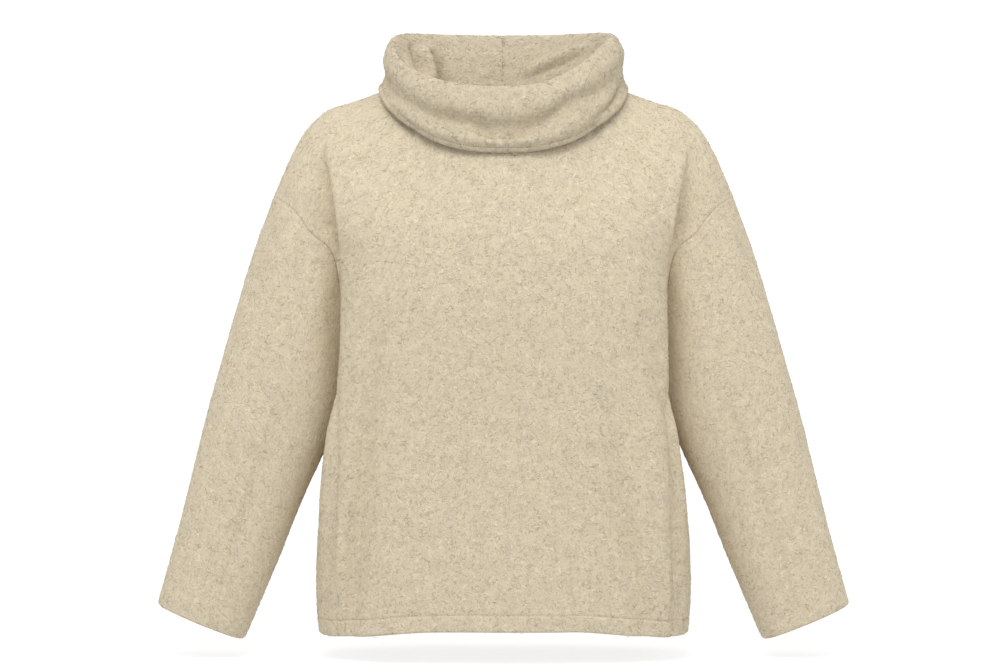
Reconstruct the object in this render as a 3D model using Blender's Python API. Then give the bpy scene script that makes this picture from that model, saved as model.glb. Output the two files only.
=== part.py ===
"""Loose pull-on sweater with a folded cowl collar, hollow, as it hangs on a wearer.

Tables and sizes are in millimetres. X runs to the wearer's left, the front faces -Y and Z is up. The
origin is the middle of the neck's base, between the two high points of the shoulders.
Every piece is a wall of cloth: the sheet's face comes from sections, and its other side lies one
cloth's thickness behind it, along normals that the pieces share where they are sewn together.
"""

import math

import bpy
import numpy as np

MM = 0.001
CLOTH = 2.4
COLLAR_CLOTH = 2.6
SEAM_GAP = 0.3
HEM_BAND = 19.0
CUFF_BAND = 16.0
COLLAR_HEM = 7.0
HEM_LEVEL = -612.0
HEM_LIFT = 9.0
NECK_HALF_WIDTH = 98.0
NECK_SIDE_Y = 5.0
NECK_SIDE_Z = 21.0
FRONT_NECK_Y = -84.0
FRONT_NECK_Z = -52.0
BACK_NECK_Y = 57.0
BACK_NECK_Z = 0.0
NECK_DROP_POWER = 1.5
COLLAR_ROUNDNESS = 0.86
INSET_REACH = 52.0
UNDERARM_REACH = 55.0
ARM_FULLNESS = 0.85
VALLEY_TOP = 100.0
SIDE_START = 55.0
LIFT_START = 0.35
LIFT_END = 0.95
HOLD_START = 0.55
RING_SPACING = 1.15
BAND_STEP = 0.004
LEAST_FACING = 0.5
CLOTH_COLOUR = (0.64, 0.56, 0.42)
COLLAR_COLOUR = (0.60, 0.52, 0.38)
CLOTH_ROUGHNESS = 0.95
SHARP_ANGLE = 50.0

BODY_CELLS = 8
VALLEY_CELLS = 7
YOKE_CELLS = 7
NECK_CELLS = 8
RIDGE_CELLS = 9
SLEEVE_CELLS = 12
COLLAR_CELLS = 18


def table(columns, *rows):
    """Named columns of a short table."""
    return dict(zip(columns.split(), np.array(rows, float).T))


TORSO = table(
    "z half_width front back inset seam_y power",
    (-616, 211, 116, 104, 0, -66, 0.70),
    (-577, 216, 115, 102, 2, -58, 0.68),
    (-508, 219, 113, 98, 7, -38, 0.65),
    (-439, 219, 112, 94, 18, -13, 0.62),
    (-382, 212, 112, 92, 30, -2, 0.60),
    (-345, 201, 113, 92, 27, 0, 0.58),
    (-278, 193, 116, 94, 16, 0, 0.58),
    (-221, 192, 118, 98, 8, 0, 0.60),
    (-180, 195, 116, 101, 4, 0, 0.64),
)
ARM = table(
    "z x y half_width half_depth tilt",
    (-140, 190, 2, 78, 61, 19.5),
    (-200, 212, 2, 78, 62, 19.5),
    (-262, 232, 1, 77, 62, 19.0),
    (-322, 251, 0, 75, 61, 19.0),
    (-390, 275, -2, 70, 57, 19.0),
    (-439, 292, -4, 65, 54, 19.0),
    (-508, 314, -8, 60, 50, 19.5),
    (-599, 345.5, -14, 53.5, 45, 22.5),
)
ARMHOLE = table(
    "angle level tuck",
    (0, -142, 0),
    (30, -142, 0),
    (55, -149, 0),
    (75, -164, 2),
    (100, -180, 9),
    (115, -212, 20),
    (130, -253, 21),
    (150, -295, 14),
    (180, -322, 0),
)
TUCK_REACH = 0.16
RIDGE = table(
    "x z",
    (NECK_HALF_WIDTH, NECK_SIDE_Z),
    (144, 6),
    (174, -5),
    (197, -12),
    (211, -21),
    (221, -34),
    (239, -60),
    (255, -94),
)
FRONT_YOKE = table(
    "across rise_x rise_y rise_z over_x over_y over_z",
    (0.00, 0, 6, 105, 0, 45, 100),
    (0.24, 0, 2, 112, 0, 72, 112),
    (0.36, 0, 0, 148, 0, 100, 84),
    (0.47, 0, -2, 180, 0, 122, 24),
    (0.62, 0, -2, 175, 0, 126, 12),
    (0.82, 12, 0, 140, 0, 100, 8),
    (1.00, 60, -8, 25, 5, 70, 10),
)
BACK_YOKE = table(
    "across rise_x rise_y rise_z over_x over_y over_z",
    (0.00, 0, 8, 190, 0, -100, 90),
    (0.24, 0, 8, 200, 0, -125, 85),
    (0.36, 0, 7, 215, 0, -150, 55),
    (0.47, 0, 6, 225, 0, -165, 22),
    (0.62, 0, 4, 205, 0, -155, 12),
    (0.82, 12, 0, 155, 0, -115, 8),
    (1.00, 60, 8, 25, 5, -70, 10),
)
# The wearer's left and right of the collar differ: it folds over lower and tighter on the right.
COLLAR = table(
    "front_out front_up left_out left_up left_bend right_out right_up right_bend back_out back_up back_bend",
    (81, -28, 103, 37, 1.0, 103, 34, 1.0, 67, 28, 2.0),
    (79, -6, 114, 56, 1.5, 117, 45, 1.1, 79, 59, 2.6),
    (88, 3, 126, 69, 1.9, 130, 59, 1.15, 92, 79, 3.0),
    (100, -13, 135, 56, 1.8, 135, 48, 1.2, 103, 66, 2.6),
    (96, -42, 134.5, 28, 2.2, 134, 25, 1.1, 102, 40, 2.0),
    (103, -57, 138, 16.5, 1.3, 138, 16, 1.2, 106, 14, 2.0),
    (96, -70, 141.5, 9, 1.25, 141.5, 9, 1.25, 98, -8, 2.0),
)
FOLDS = table(
    "facing x_top z_top x_bottom z_bottom width depth",
    (-1, -134, -260, -186, -620, 14, 7),
    (-1, -170, -400, -203, -640, 8, -3),
    (-1, 116, -240, 167, -620, 13, 7),
    (-1, 138, -290, 188, -600, 8, -3),
    (-1, 158, -280, 198, -520, 9, 4),
    (-1, -34, -330, -48, -640, 28, 4),
    (1, -116, -235, -152, -640, 20, 8),
    (1, 92, -255, 131, -640, 20, 8),
    (1, -14, -300, 8, -640, 25, 6),
)


def through(xs, ys, at):
    """A smooth curve through the places xs with the values ys, read at the places `at`."""
    xs = np.asarray(xs, float)
    ys = np.asarray(ys, float)
    steps = np.diff(xs)
    rises = (np.diff(ys, axis=0).T / steps).T
    slopes = np.empty_like(ys)
    slopes[0], slopes[-1] = rises[0], rises[-1]
    near, far = steps[:-1], steps[1:]
    slopes[1:-1] = ((rises[:-1].T * far + rises[1:].T * near) / (near + far)).T
    at = np.clip(np.asarray(at, float), xs[0], xs[-1])
    cell = np.clip(np.searchsorted(xs, at, side="right") - 1, 0, len(steps) - 1)
    t = (at - xs[cell]) / steps[cell]
    width = steps[cell]
    if ys.ndim > 1:
        t, width = t[..., None], width[..., None]
    return (
        (2 * t**3 - 3 * t**2 + 1) * ys[cell]
        + (t**3 - 2 * t**2 + t) * width * slopes[cell]
        + (3 * t**2 - 2 * t**3) * ys[cell + 1]
        + (t**3 - t**2) * width * slopes[cell + 1]
    )


def read(source, column, at, key="z"):
    order = np.argsort(source[key])
    return through(source[key][order], source[column][order], at)


def ease(t):
    t = np.clip(t, 0.0, 1.0)
    return t * t * (3 - 2 * t)


def spread(points, shares):
    """Points at the given shares of the way along a dense line."""
    lengths = np.linalg.norm(np.diff(points, axis=0), axis=1)
    way = np.concatenate([[0.0], np.cumsum(lengths)])
    way /= way[-1]
    return np.stack([np.interp(shares, way, points[:, axis]) for axis in range(3)], axis=1)


def arm_point(level, angle, facing, tuck=0.0):
    """A point of the arm's tube; angle 0 is the outer side, 90 the front or back, 180 the inner side."""
    turn = math.radians(angle)
    tilt = math.radians(float(read(ARM, "tilt", level)))
    out = math.cos(turn) * float(read(ARM, "half_width", level))
    full = max(0.0, math.sin(turn)) ** ARM_FULLNESS
    deep = full * float(read(ARM, "half_depth", level)) - tuck
    x = float(read(ARM, "x", level)) + out * math.cos(tilt)
    y = float(read(ARM, "y", level)) + facing * deep
    return np.array([x, y, level + out * math.sin(tilt)])


def seam_point(angle, facing):
    level = float(read(ARMHOLE, "level", angle, "angle"))
    tuck = float(read(ARMHOLE, "tuck", angle, "angle"))
    return arm_point(level, angle, facing, tuck)


def armhole_angles():
    """Angles from the underarm, 180, up the valley beside the body and over to the shoulder, 0."""
    angles = []
    for first, last, cells in ((180.0, VALLEY_TOP, VALLEY_CELLS), (VALLEY_TOP, 0.0, YOKE_CELLS)):
        dense = np.linspace(first, last, 80)
        line = np.array([seam_point(angle, -1) for angle in dense])
        way = np.concatenate([[0.0], np.cumsum(np.linalg.norm(np.diff(line, axis=0), axis=1))])
        angles.extend(np.interp(np.linspace(0, way[-1], cells + 1), way, dense)[:-1])
    return angles + [0.0]


def side_turn(level, y):
    """The section's angle, 0 at the side and 90 at the back's middle, at which its depth is y."""
    depth = float(read(TORSO, "back" if y > 0 else "front", level))
    power = float(read(TORSO, "power", level))
    return math.copysign(math.degrees(math.asin((abs(y) / depth) ** (1 / power))), y)


def torso_points(level, turns):
    turns = np.radians(turns)
    power = float(read(TORSO, "power", level))
    across = np.abs(np.cos(turns)) ** power
    away = np.abs(np.sin(turns)) ** power
    depth = np.where(turns > 0, read(TORSO, "back", level), read(TORSO, "front", level))
    y = np.sign(turns) * depth * away
    pull = float(read(TORSO, "inset", level)) * np.exp(-((y / INSET_REACH) ** 4))
    x = float(read(TORSO, "half_width", level)) * across - pull
    return np.stack([x, y, np.full_like(x, level)], axis=1)


def torso_row(level, facing, edge):
    """Half a level row from the middle to the seam at its side."""
    last = side_turn(level, edge[1])
    turns = np.linspace(facing * 90.0, last, 90)
    points = torso_points(level, turns)
    start = facing * SIDE_START
    follow = ease((turns - start) / (last - start))
    return points + follow[:, None] * (edge - points[-1])


def column_shares():
    return np.linspace(0.0, 1.0, NECK_CELLS + RIDGE_CELLS + 1)


def neck_point(turn, facing):
    """The neck seam; turn 0 is the middle of the front or back and 90 the high point of the shoulder."""
    middle_y, middle_z = (
        (FRONT_NECK_Y, FRONT_NECK_Z) if facing < 0 else (BACK_NECK_Y, BACK_NECK_Z)
    )
    share = math.cos(math.radians(turn))
    return np.array(
        [
            NECK_HALF_WIDTH * math.sin(math.radians(turn)),
            NECK_SIDE_Y + (middle_y - NECK_SIDE_Y) * share,
            NECK_SIDE_Z + (middle_z - NECK_SIDE_Z) * share**NECK_DROP_POWER,
        ]
    )


def neck_turns():
    return np.linspace(0.0, 90.0, NECK_CELLS + 1)


def ridge_line():
    """The shoulder seam, from the neck to the top of the sleeve."""
    tip = seam_point(0.0, -1)
    xs = np.append(RIDGE["x"], tip[0])
    zs = np.append(RIDGE["z"], tip[2])
    way = np.concatenate([[0.0], np.cumsum(np.hypot(np.diff(xs), np.diff(zs)))])
    places = np.linspace(0.0, way[-1], RIDGE_CELLS + 1)
    x = through(way, xs, places)
    z = through(way, zs, places)
    y = NECK_SIDE_Y + (tip[1] - NECK_SIDE_Y) * places / way[-1]
    return np.stack([x, y, z], axis=1)


def top_line(facing):
    neck = np.array([neck_point(turn, facing) for turn in neck_turns()])
    return np.concatenate([neck[:-1], ridge_line()])


def side_point(level):
    y = float(read(TORSO, "seam_y", level))
    return torso_points(level, np.array([side_turn(level, y)]))[0]


def side_edge(level):
    """The side seam, eased onto the underarm."""
    underarm = seam_point(180.0, -1)
    near = math.exp(-(((underarm[2] - level) / UNDERARM_REACH) ** 2))
    return side_point(level) + (underarm - side_point(underarm[2])) * near


def body_levels():
    underarm = seam_point(180.0, -1)[2]
    even = np.linspace(HEM_LEVEL + HEM_BAND + 1.5, underarm, BODY_CELLS + 1)[:-1]
    return np.concatenate([[HEM_LEVEL, HEM_LEVEL + HEM_BAND], even])


def half_panel(facing):
    """Rows from the hem up to the neck and shoulder, columns from the middle to the seams."""
    shares = column_shares()
    rows = []
    underarm = seam_point(180.0, -1)[2]
    for level in body_levels():
        row = spread(torso_row(level, facing, side_edge(level)), shares)
        fade = ease((underarm - level) / (underarm - HEM_LEVEL))
        lift = HEM_LIFT if facing < 0 else 0.0
        row[:, 2] += lift * fade * (1 - ease((shares - LIFT_START) / (LIFT_END - LIFT_START)))
        rows.append(row)
    angles = armhole_angles()
    for angle in angles[: VALLEY_CELLS + 1]:
        edge = seam_point(angle, facing)
        row = torso_row(edge[2], facing, edge)
        rows.append(spread(row, shares))
    base = rows[-1]
    top = top_line(facing)
    yoke = FRONT_YOKE if facing < 0 else BACK_YOKE
    rise = np.stack([read(yoke, "rise_" + axis, shares, "across") for axis in "xyz"], axis=1)
    over = np.stack([read(yoke, "over_" + axis, shares, "across") for axis in "xyz"], axis=1)
    hold = ease((shares - HOLD_START) / (1 - HOLD_START))[:, None]
    for step in range(1, YOKE_CELLS + 1):
        t = step / YOKE_CELLS
        row = (
            (2 * t**3 - 3 * t**2 + 1) * base
            + (t**3 - 2 * t**2 + t) * rise
            + (3 * t**2 - 2 * t**3) * top
            + (t**3 - t**2) * over
        )
        edge = seam_point(angles[VALLEY_CELLS + step], facing)
        rows.append(row + hold * (edge - row[-1]))
    return np.array(rows)


def fold_push(points, facing):
    """How far the soft upright folds move a panel's points towards the wearer."""
    push = np.zeros(points.shape[:2])
    for row in zip(*FOLDS.values()):
        side, x_top, z_top, x_bottom, z_bottom, width, depth = row
        if side != facing:
            continue
        share = (points[..., 2] - z_top) / (z_bottom - z_top)
        middle = x_top + (x_bottom - x_top) * share
        across = np.exp(-(((points[..., 0] - middle) / width) ** 2))
        push += depth * across * ease(share / 0.35) * ease((1.35 - share) / 0.35)
    return push


def mirrored(half):
    other = half[:, :0:-1] * np.array([-1.0, 1.0, 1.0])
    return np.concatenate([other, half], axis=1)


def panel(facing):
    sheet = mirrored(half_panel(facing))
    push = fold_push(sheet, facing)
    push[:, [0, -1]] = 0.0
    sheet[..., 1] -= facing * push
    return sheet if facing < 0 else sheet[:, ::-1]


def sleeve(side):
    """Rows from the cuff up to the armhole, columns round the arm from the underarm by the front."""
    angles = armhole_angles()
    stations = [(angle, -1) for angle in angles] + [(angle, 1) for angle in angles[-2:0:-1]]
    cuff = ARM["z"][-1]
    axis = ARM["z"][-1] - ARM["z"][0]
    band = CUFF_BAND / abs(axis)
    even = np.linspace(0.0, 1.0, SLEEVE_CELLS - 1) ** RING_SPACING
    first = band + BAND_STEP
    shares = np.concatenate([[0.0, band], first + (1 - first) * even])
    sheet = []
    for share in shares:
        ring = []
        for angle, facing in stations:
            start = float(read(ARMHOLE, "level", angle, "angle"))
            tuck = float(read(ARMHOLE, "tuck", angle, "angle"))
            away = 1 - share
            level = start + (cuff - start) * away
            fade = math.exp(-((away / TUCK_REACH) ** 2))
            ring.append(arm_point(level, angle, facing, tuck * fade))
        sheet.append(ring)
    sheet = np.array(sheet)
    return sheet if side > 0 else sheet[:, ::-1] * np.array([-1.0, 1.0, 1.0])


def collar_turns():
    """Turns round the neck from the middle of the front by the wearer's left."""
    quarter = neck_turns()
    half = [(turn, -1) for turn in quarter] + [(turn, 1) for turn in quarter[-2::-1]]
    first = [(turn, facing, "left") for turn, facing in half]
    return first + [(turn, facing, "right") for turn, facing in half[-2:0:-1]]


def collar_marks(turn, facing, side):
    """The places that the strip passes at this turn, from the neck seam to the free edge."""
    sine = math.sin(math.radians(turn))
    middle = math.cos(math.radians(turn))
    sign = 1.0 if side == "left" else -1.0
    end = "front" if facing < 0 else "back"
    if facing < 0:
        share = middle ** COLLAR[side + "_bend"]
    else:
        share = 1 - (1 - middle) ** COLLAR["back_bend"]
    x = sign * COLLAR[side + "_out"] * sine**COLLAR_ROUNDNESS
    y = 3.0 * (1 - middle) + facing * COLLAR[end + "_out"] * middle**COLLAR_ROUNDNESS
    z = COLLAR[side + "_up"] + (COLLAR[end + "_up"] - COLLAR[side + "_up"]) * share
    start = neck_point(turn, facing) * np.array([sign, 1.0, 1.0])
    return np.concatenate([[start], np.stack([x, y, z], axis=1)])


def collar():
    """Rows from the neck seam up the stand, over the rim and down the fall to the free edge."""
    dense = np.linspace(0.0, 1.0, 160)
    columns = []
    for turn, facing, side in collar_turns():
        marks = collar_marks(turn, facing, side)
        way = np.concatenate([[0.0], np.cumsum(np.linalg.norm(np.diff(marks, axis=0), axis=1))])
        line = through(way, marks, dense * way[-1])
        hem = 1 - COLLAR_HEM / way[-1]
        shares = np.append(np.linspace(0.0, hem, COLLAR_CELLS), 1.0)
        columns.append(spread(line, shares))
    return np.array(columns).transpose(1, 0, 2)


def triangles(points, rows, columns, closed):
    """Corner numbers of a grid's triangles, each cell cut along its shorter diagonal."""
    wrap = columns if closed else columns - 1
    faces = []
    for row in range(rows - 1):
        for column in range(wrap):
            right = (column + 1) % columns
            low, high = row * columns, (row + 1) * columns
            a, b, c, d = low + column, low + right, high + right, high + column
            if np.linalg.norm(points[a] - points[c]) <= np.linalg.norm(points[b] - points[d]):
                faces += [(a, b, c), (a, c, d)]
            else:
                faces += [(a, b, d), (b, c, d)]
    return np.array(faces)


def face_normals(points, faces):
    corners = points[faces]
    return np.cross(corners[:, 1] - corners[:, 0], corners[:, 2] - corners[:, 0])


def shared_normals(sheets):
    """Unit normals of all the sheets, summed where their points coincide, and the stretch that keeps
    the wall as thick in a crease as on the flat."""
    total = {}
    for sheet, faces, normals in sheets:
        for face, normal in zip(faces, normals):
            for corner in face:
                key = tuple(np.round(sheet[corner], 3))
                total.setdefault(key, []).append(normal)
    results = []
    for sheet, faces, normals in sheets:
        units, stretches = [], []
        for point in sheet:
            near = np.array(total[tuple(np.round(point, 3))])
            unit = near.sum(axis=0)
            unit /= np.linalg.norm(unit)
            near /= np.linalg.norm(near, axis=1)[:, None]
            stretches.append(1 / max(LEAST_FACING, float((near @ unit).mean())))
            units.append(unit)
        results.append((np.array(units), np.array(stretches)))
    return results


def seam_shift(sheet, normals, line, inward):
    """Half a seam's gap, square to the seam's line and to the shared normals."""
    points = sheet[line]
    along = np.gradient(points, axis=0)
    aside = np.cross(along, normals[line])
    aside /= np.linalg.norm(aside, axis=1)[:, None]
    side = np.sign(((sheet[inward] - points) * aside).sum(axis=1))
    return aside * side[:, None] * SEAM_GAP / 2


def edge_faces(points, faces):
    """Triangles between a wall's face and rear, cut alike on the two pieces of a seam."""
    count = len(points)
    directed = set()
    for face in faces:
        for start, end in zip(face, np.roll(face, -1)):
            directed.add((int(start), int(end)))
    rank = [tuple(np.round(point[[2, 0, 1]], 3)) for point in points]
    rim = []
    for start, end in sorted(directed):
        if (end, start) in directed:
            continue
        if rank[start] > rank[end]:
            rim += [(end, start, end + count), (start, start + count, end + count)]
        else:
            rim += [(end, start, start + count), (end, start + count, end + count)]
    return rim


def panel_seams(number):
    """A panel's seams, each as its points and the points next to them: sides, armholes, shoulders, neck."""
    underarm = BODY_CELLS + 1
    seams = []
    for edge, beside in ((0, 1), (-1, -2)):
        seams.append((number[: underarm + 1, edge], number[: underarm + 1, beside]))
        seams.append((number[underarm:, edge], number[underarm:, beside]))
    right = slice(0, RIDGE_CELLS + 1)
    neck = slice(RIDGE_CELLS, -RIDGE_CELLS)
    left = slice(-RIDGE_CELLS - 1, None)
    for part in (right, neck, left):
        seams.append((number[-1, part], number[-2, part]))
    return seams


def wall_mesh(name, front, rear, faces, rim):
    """A closed mesh of the sheet's face, its rear and the edges between them."""
    count = len(front)
    solid = [tuple(int(c) for c in face) for face in faces]
    solid += [tuple(int(c) + count for c in face[::-1]) for face in faces]
    solid += rim
    mesh = bpy.data.meshes.new(name)
    mesh.from_pydata((np.concatenate([front, rear]) * MM).tolist(), [], solid)
    mesh.update()
    return mesh


def cloth_material(name, colour):
    material = bpy.data.materials.new(name)
    material.use_nodes = True
    shader = material.node_tree.nodes["Principled BSDF"]
    shader.inputs["Base Color"].default_value = (*colour, 1.0)
    shader.inputs["Roughness"].default_value = CLOTH_ROUGHNESS
    shader.inputs["Metallic"].default_value = 0.0
    return material


def thickness_and_seams(name, grid):
    """The wall's thickness at each point, double in a hem, and the edges sewn to other pieces."""
    rows, columns = grid.shape[:2]
    number = np.arange(rows * columns).reshape(rows, columns)
    thick = np.full((rows, columns), COLLAR_CLOTH if name == "collar" else CLOTH)
    if name == "collar":
        thick[-2:] *= 2
        return thick, [(number[0], number[1])]
    thick[:2] *= 2
    if name in ("front", "back"):
        return thick, panel_seams(number)
    return thick, [(number[-1], number[-2])]


def gap_shift(points, normals, seams, closed):
    """How far each point moves back from the seams it lies on."""
    shift = np.zeros_like(points)
    for line, inward in seams:
        if closed:
            line, inward = np.append(line, line[:2]), np.append(inward, inward[:2])
            shift[line[1:-1]] += seam_shift(points, normals, line, inward)[1:-1]
        else:
            shift[line] += seam_shift(points, normals, line, inward)
    return shift


def cloth_piece(name, grid, closed, faces, normals, stretch):
    points = grid.reshape(-1, 3)
    thick, seams = thickness_and_seams(name, grid)
    face = points + gap_shift(points, normals, seams, closed)
    rear = face - normals * (thick.reshape(-1) * stretch)[:, None]
    mesh = wall_mesh(name, face, rear, faces, edge_faces(points, faces))
    colour = COLLAR_COLOUR if name == "collar" else CLOTH_COLOUR
    mesh.materials.append(cloth_material(name + "_cloth", colour))
    mesh.shade_smooth()
    mesh.set_sharp_from_angle(angle=math.radians(SHARP_ANGLE))
    return bpy.data.objects.new(name, mesh)


def main():
    for item in list(bpy.data.objects):
        bpy.data.objects.remove(item, do_unlink=True)
    group = bpy.data.collections.new("sweater")
    bpy.context.scene.collection.children.link(group)
    grids = {
        "front": (panel(-1), False),
        "back": (panel(1), False),
        "sleeve_left": (sleeve(1), True),
        "sleeve_right": (sleeve(-1), True),
        "collar": (collar(), True),
    }
    flat = []
    for grid, closed in grids.values():
        points = grid.reshape(-1, 3)
        faces = triangles(points, grid.shape[0], grid.shape[1], closed)
        flat.append((points, faces, face_normals(points, faces)))
    shared = shared_normals(flat)
    for (name, (grid, closed)), sheet, (normals, stretch) in zip(grids.items(), flat, shared):
        group.objects.link(cloth_piece(name, grid, closed, sheet[1], normals, stretch))


main()
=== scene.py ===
import math

import bpy
import numpy as np
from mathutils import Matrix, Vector


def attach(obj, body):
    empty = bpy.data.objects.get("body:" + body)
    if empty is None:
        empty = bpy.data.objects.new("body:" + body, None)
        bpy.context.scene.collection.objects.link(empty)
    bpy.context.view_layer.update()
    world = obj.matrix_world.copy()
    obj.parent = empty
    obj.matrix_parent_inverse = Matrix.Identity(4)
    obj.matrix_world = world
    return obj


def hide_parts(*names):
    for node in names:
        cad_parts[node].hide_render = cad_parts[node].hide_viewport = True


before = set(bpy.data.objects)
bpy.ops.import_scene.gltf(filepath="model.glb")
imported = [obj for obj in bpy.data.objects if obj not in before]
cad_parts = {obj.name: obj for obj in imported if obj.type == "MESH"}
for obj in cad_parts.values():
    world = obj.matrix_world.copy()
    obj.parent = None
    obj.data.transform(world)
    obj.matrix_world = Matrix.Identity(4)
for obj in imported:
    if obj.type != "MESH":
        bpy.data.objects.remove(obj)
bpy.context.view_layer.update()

# lengths are in millimetres, and the meshes are made in metres at the end
mm = 0.001
fineSteps = 600  # points along a line before it is cut to a mesh's rows or columns
weldStep = 0.004  # points nearer than this count as one where pieces are sewn
leastFacing = 0.5  # how far a wall may stretch to keep its thickness in a sharp valley


def table(columns, *rows):  # a short table, read by its column names
    return dict(zip(columns.split(), np.array(rows, float).T))


# the torso's panels, front and back
body = {
    "cloth": 2.4,
    "hemLevel": -612.0,
    "hemLift": 9.0,
    "hemBand": 19.0,
    "hemDouble": 2.0,
    "insetReach": 52.0,
    "underarmReach": 55.0,
    "neckHalfWidth": 98.0,
    "neckSide": (5.0, 21.0),
    "frontNeck": (-84.0, -52.0),
    "backNeck": (57.0, 0.0),
    "neckDropPower": 1.5,
    "neckShare": 8 / 17,
    "sideStart": 55.0,
    "rowSteps": 500,
    "liftStart": 0.35,
    "liftSpan": 0.6,
    "seamHold": 0.55,
    "foldsFrom": 30.0,
    "foldsFade": 35.0,
    "seamFade": 14.0,
    "hemStep": 1.5,
    "edgeThin": 2.8,
    "edgeIn": 1.4,
    "neckCells": 52,
    "ridgeCells": 50,
    "bodyCells": 66,
    "valleyCells": 48,
    "yokeCells": 56,
}
torso = table(
    "z half front back inset seamY power",
    (-616, 211, 116, 104, 0, -66, 0.70),
    (-577, 216, 115, 102, 2, -58, 0.68),
    (-508, 219, 113, 98, 7, -38, 0.65),
    (-439, 219, 112, 94, 18, -13, 0.62),
    (-382, 212, 112, 92, 30, -2, 0.60),
    (-345, 201, 113, 92, 27, 0, 0.58),
    (-278, 193, 116, 94, 16, 0, 0.58),
    (-221, 192, 118, 98, 8, 0, 0.60),
    (-180, 195, 116, 101, 4, 0, 0.64),
)
frontYoke = table(
    "across riseX riseY riseZ overX overY overZ",
    (0.00, 0, 6, 105, 0, 45, 100),
    (0.24, 0, 2, 112, 0, 72, 112),
    (0.36, 0, 0, 148, 0, 100, 84),
    (0.47, 0, -2, 180, 0, 122, 24),
    (0.62, 0, -2, 175, 0, 126, 12),
    (0.82, 12, 0, 140, 0, 100, 8),
    (1.00, 60, -8, 25, 5, 70, 10),
)
backYoke = table(
    "across riseX riseY riseZ overX overY overZ",
    (0.00, 0, 8, 190, 0, -100, 90),
    (0.24, 0, 8, 200, 0, -125, 85),
    (0.36, 0, 7, 215, 0, -150, 55),
    (0.47, 0, 6, 225, 0, -165, 22),
    (0.62, 0, 4, 205, 0, -155, 12),
    (0.82, 12, 0, 155, 0, -115, 8),
    (1.00, 60, 8, 25, 5, -70, 10),
)
ridge = table(
    "x z",
    (98, 21),
    (144, 6),
    (174, -5),
    (197, -12),
    (211, -21),
    (224, -34),
    (240, -60),
    (255, -94),
)

# the sleeves, each a tube about the arm, and the armhole they meet the panels on
sleeves = {
    "cloth": 2.4,
    "valleyTop": 100.0,
    "tuckReach": 0.16,
    "ringCells": 130,
    "cuffBand": 16.0,
    "cuffDouble": 1.4,
    "fullness": 0.7,
    "foldsFrom": 10.0,
    "foldsFade": 20.0,
    "seamFade": 30.0,
    "hemStep": 1.5,
    "edgeThin": 2.4,
    "edgeIn": 1.2,
}
arm = table(
    "z x y half deep tilt",
    (-140, 190, 2, 78, 61, 19.5),
    (-200, 212, 2, 78, 62, 19.5),
    (-262, 232, 1, 77, 62, 19.0),
    (-322, 251, 0, 75, 61, 19.0),
    (-390, 275, -2, 70, 57, 19.0),
    (-439, 292, -4, 65, 54, 19.0),
    (-508, 314, -8, 60, 50, 19.5),
    (-599, 345.5, -14, 53.5, 45, 22.5),
)
armhole = table(
    "angle level tuck",
    (0, -142, 0),
    (30, -142, 0),
    (55, -149, 0),
    (75, -164, 2),
    (100, -180, 9),
    (115, -212, 20),
    (130, -253, 21),
    (150, -295, 14),
    (180, -322, 0),
)

# the collar's strip: rows from the stand by the rim down to the free edge of the fall
collar = {
    "cloth": 2.6,
    "hem": 7.0,
    "hemDouble": 1.0,
    "hemStep": 4.0,
    "cells": 124,
    "roundness": 0.86,
    "sideY": 3.0,
    "frontTo": 10.0,
    "frontFade": 20.0,
    "behindFrom": -6.0,
    "behindFade": 14.0,
    "rimFade": 0.10,
    "fallFrom": 0.04,
    "standFrom": 0.02,
    "freeFrom": 3.0,
    "freeFade": 14.0,
    "seamFade": 12.0,
    "joinWidth": 0.8,
    "joinFrom": 20.0,
    "joinThin": 2.0,
    "joinIn": 1.2,
    "edgeThin": 2.8,
    "edgeIn": 1.4,
}
cowl = table(
    "frontOut frontUp leftOut leftUp leftBend rightOut rightUp rightBend backOut backUp backBend",
    (81, -28, 103, 37, 1.0, 103, 34, 1.0, 67, 28, 2.0),
    (79, -6, 114, 56, 1.5, 117, 45, 1.1, 79, 59, 2.6),
    (88, 3, 126, 69, 1.9, 130, 59, 1.15, 92, 79, 3.0),
    (100, -13, 135, 56, 1.8, 135, 48, 1.2, 103, 66, 2.6),
    (96, -42, 134.5, 28, 2.2, 134, 25, 1.1, 102, 40, 2.0),
    (103, -57, 138, 16.5, 1.3, 138, 16, 1.2, 106, 14, 2.0),
    (96, -70, 141.5, 9, 1.25, 141.5, 9, 1.25, 98, -8, 2.0),
)

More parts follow.
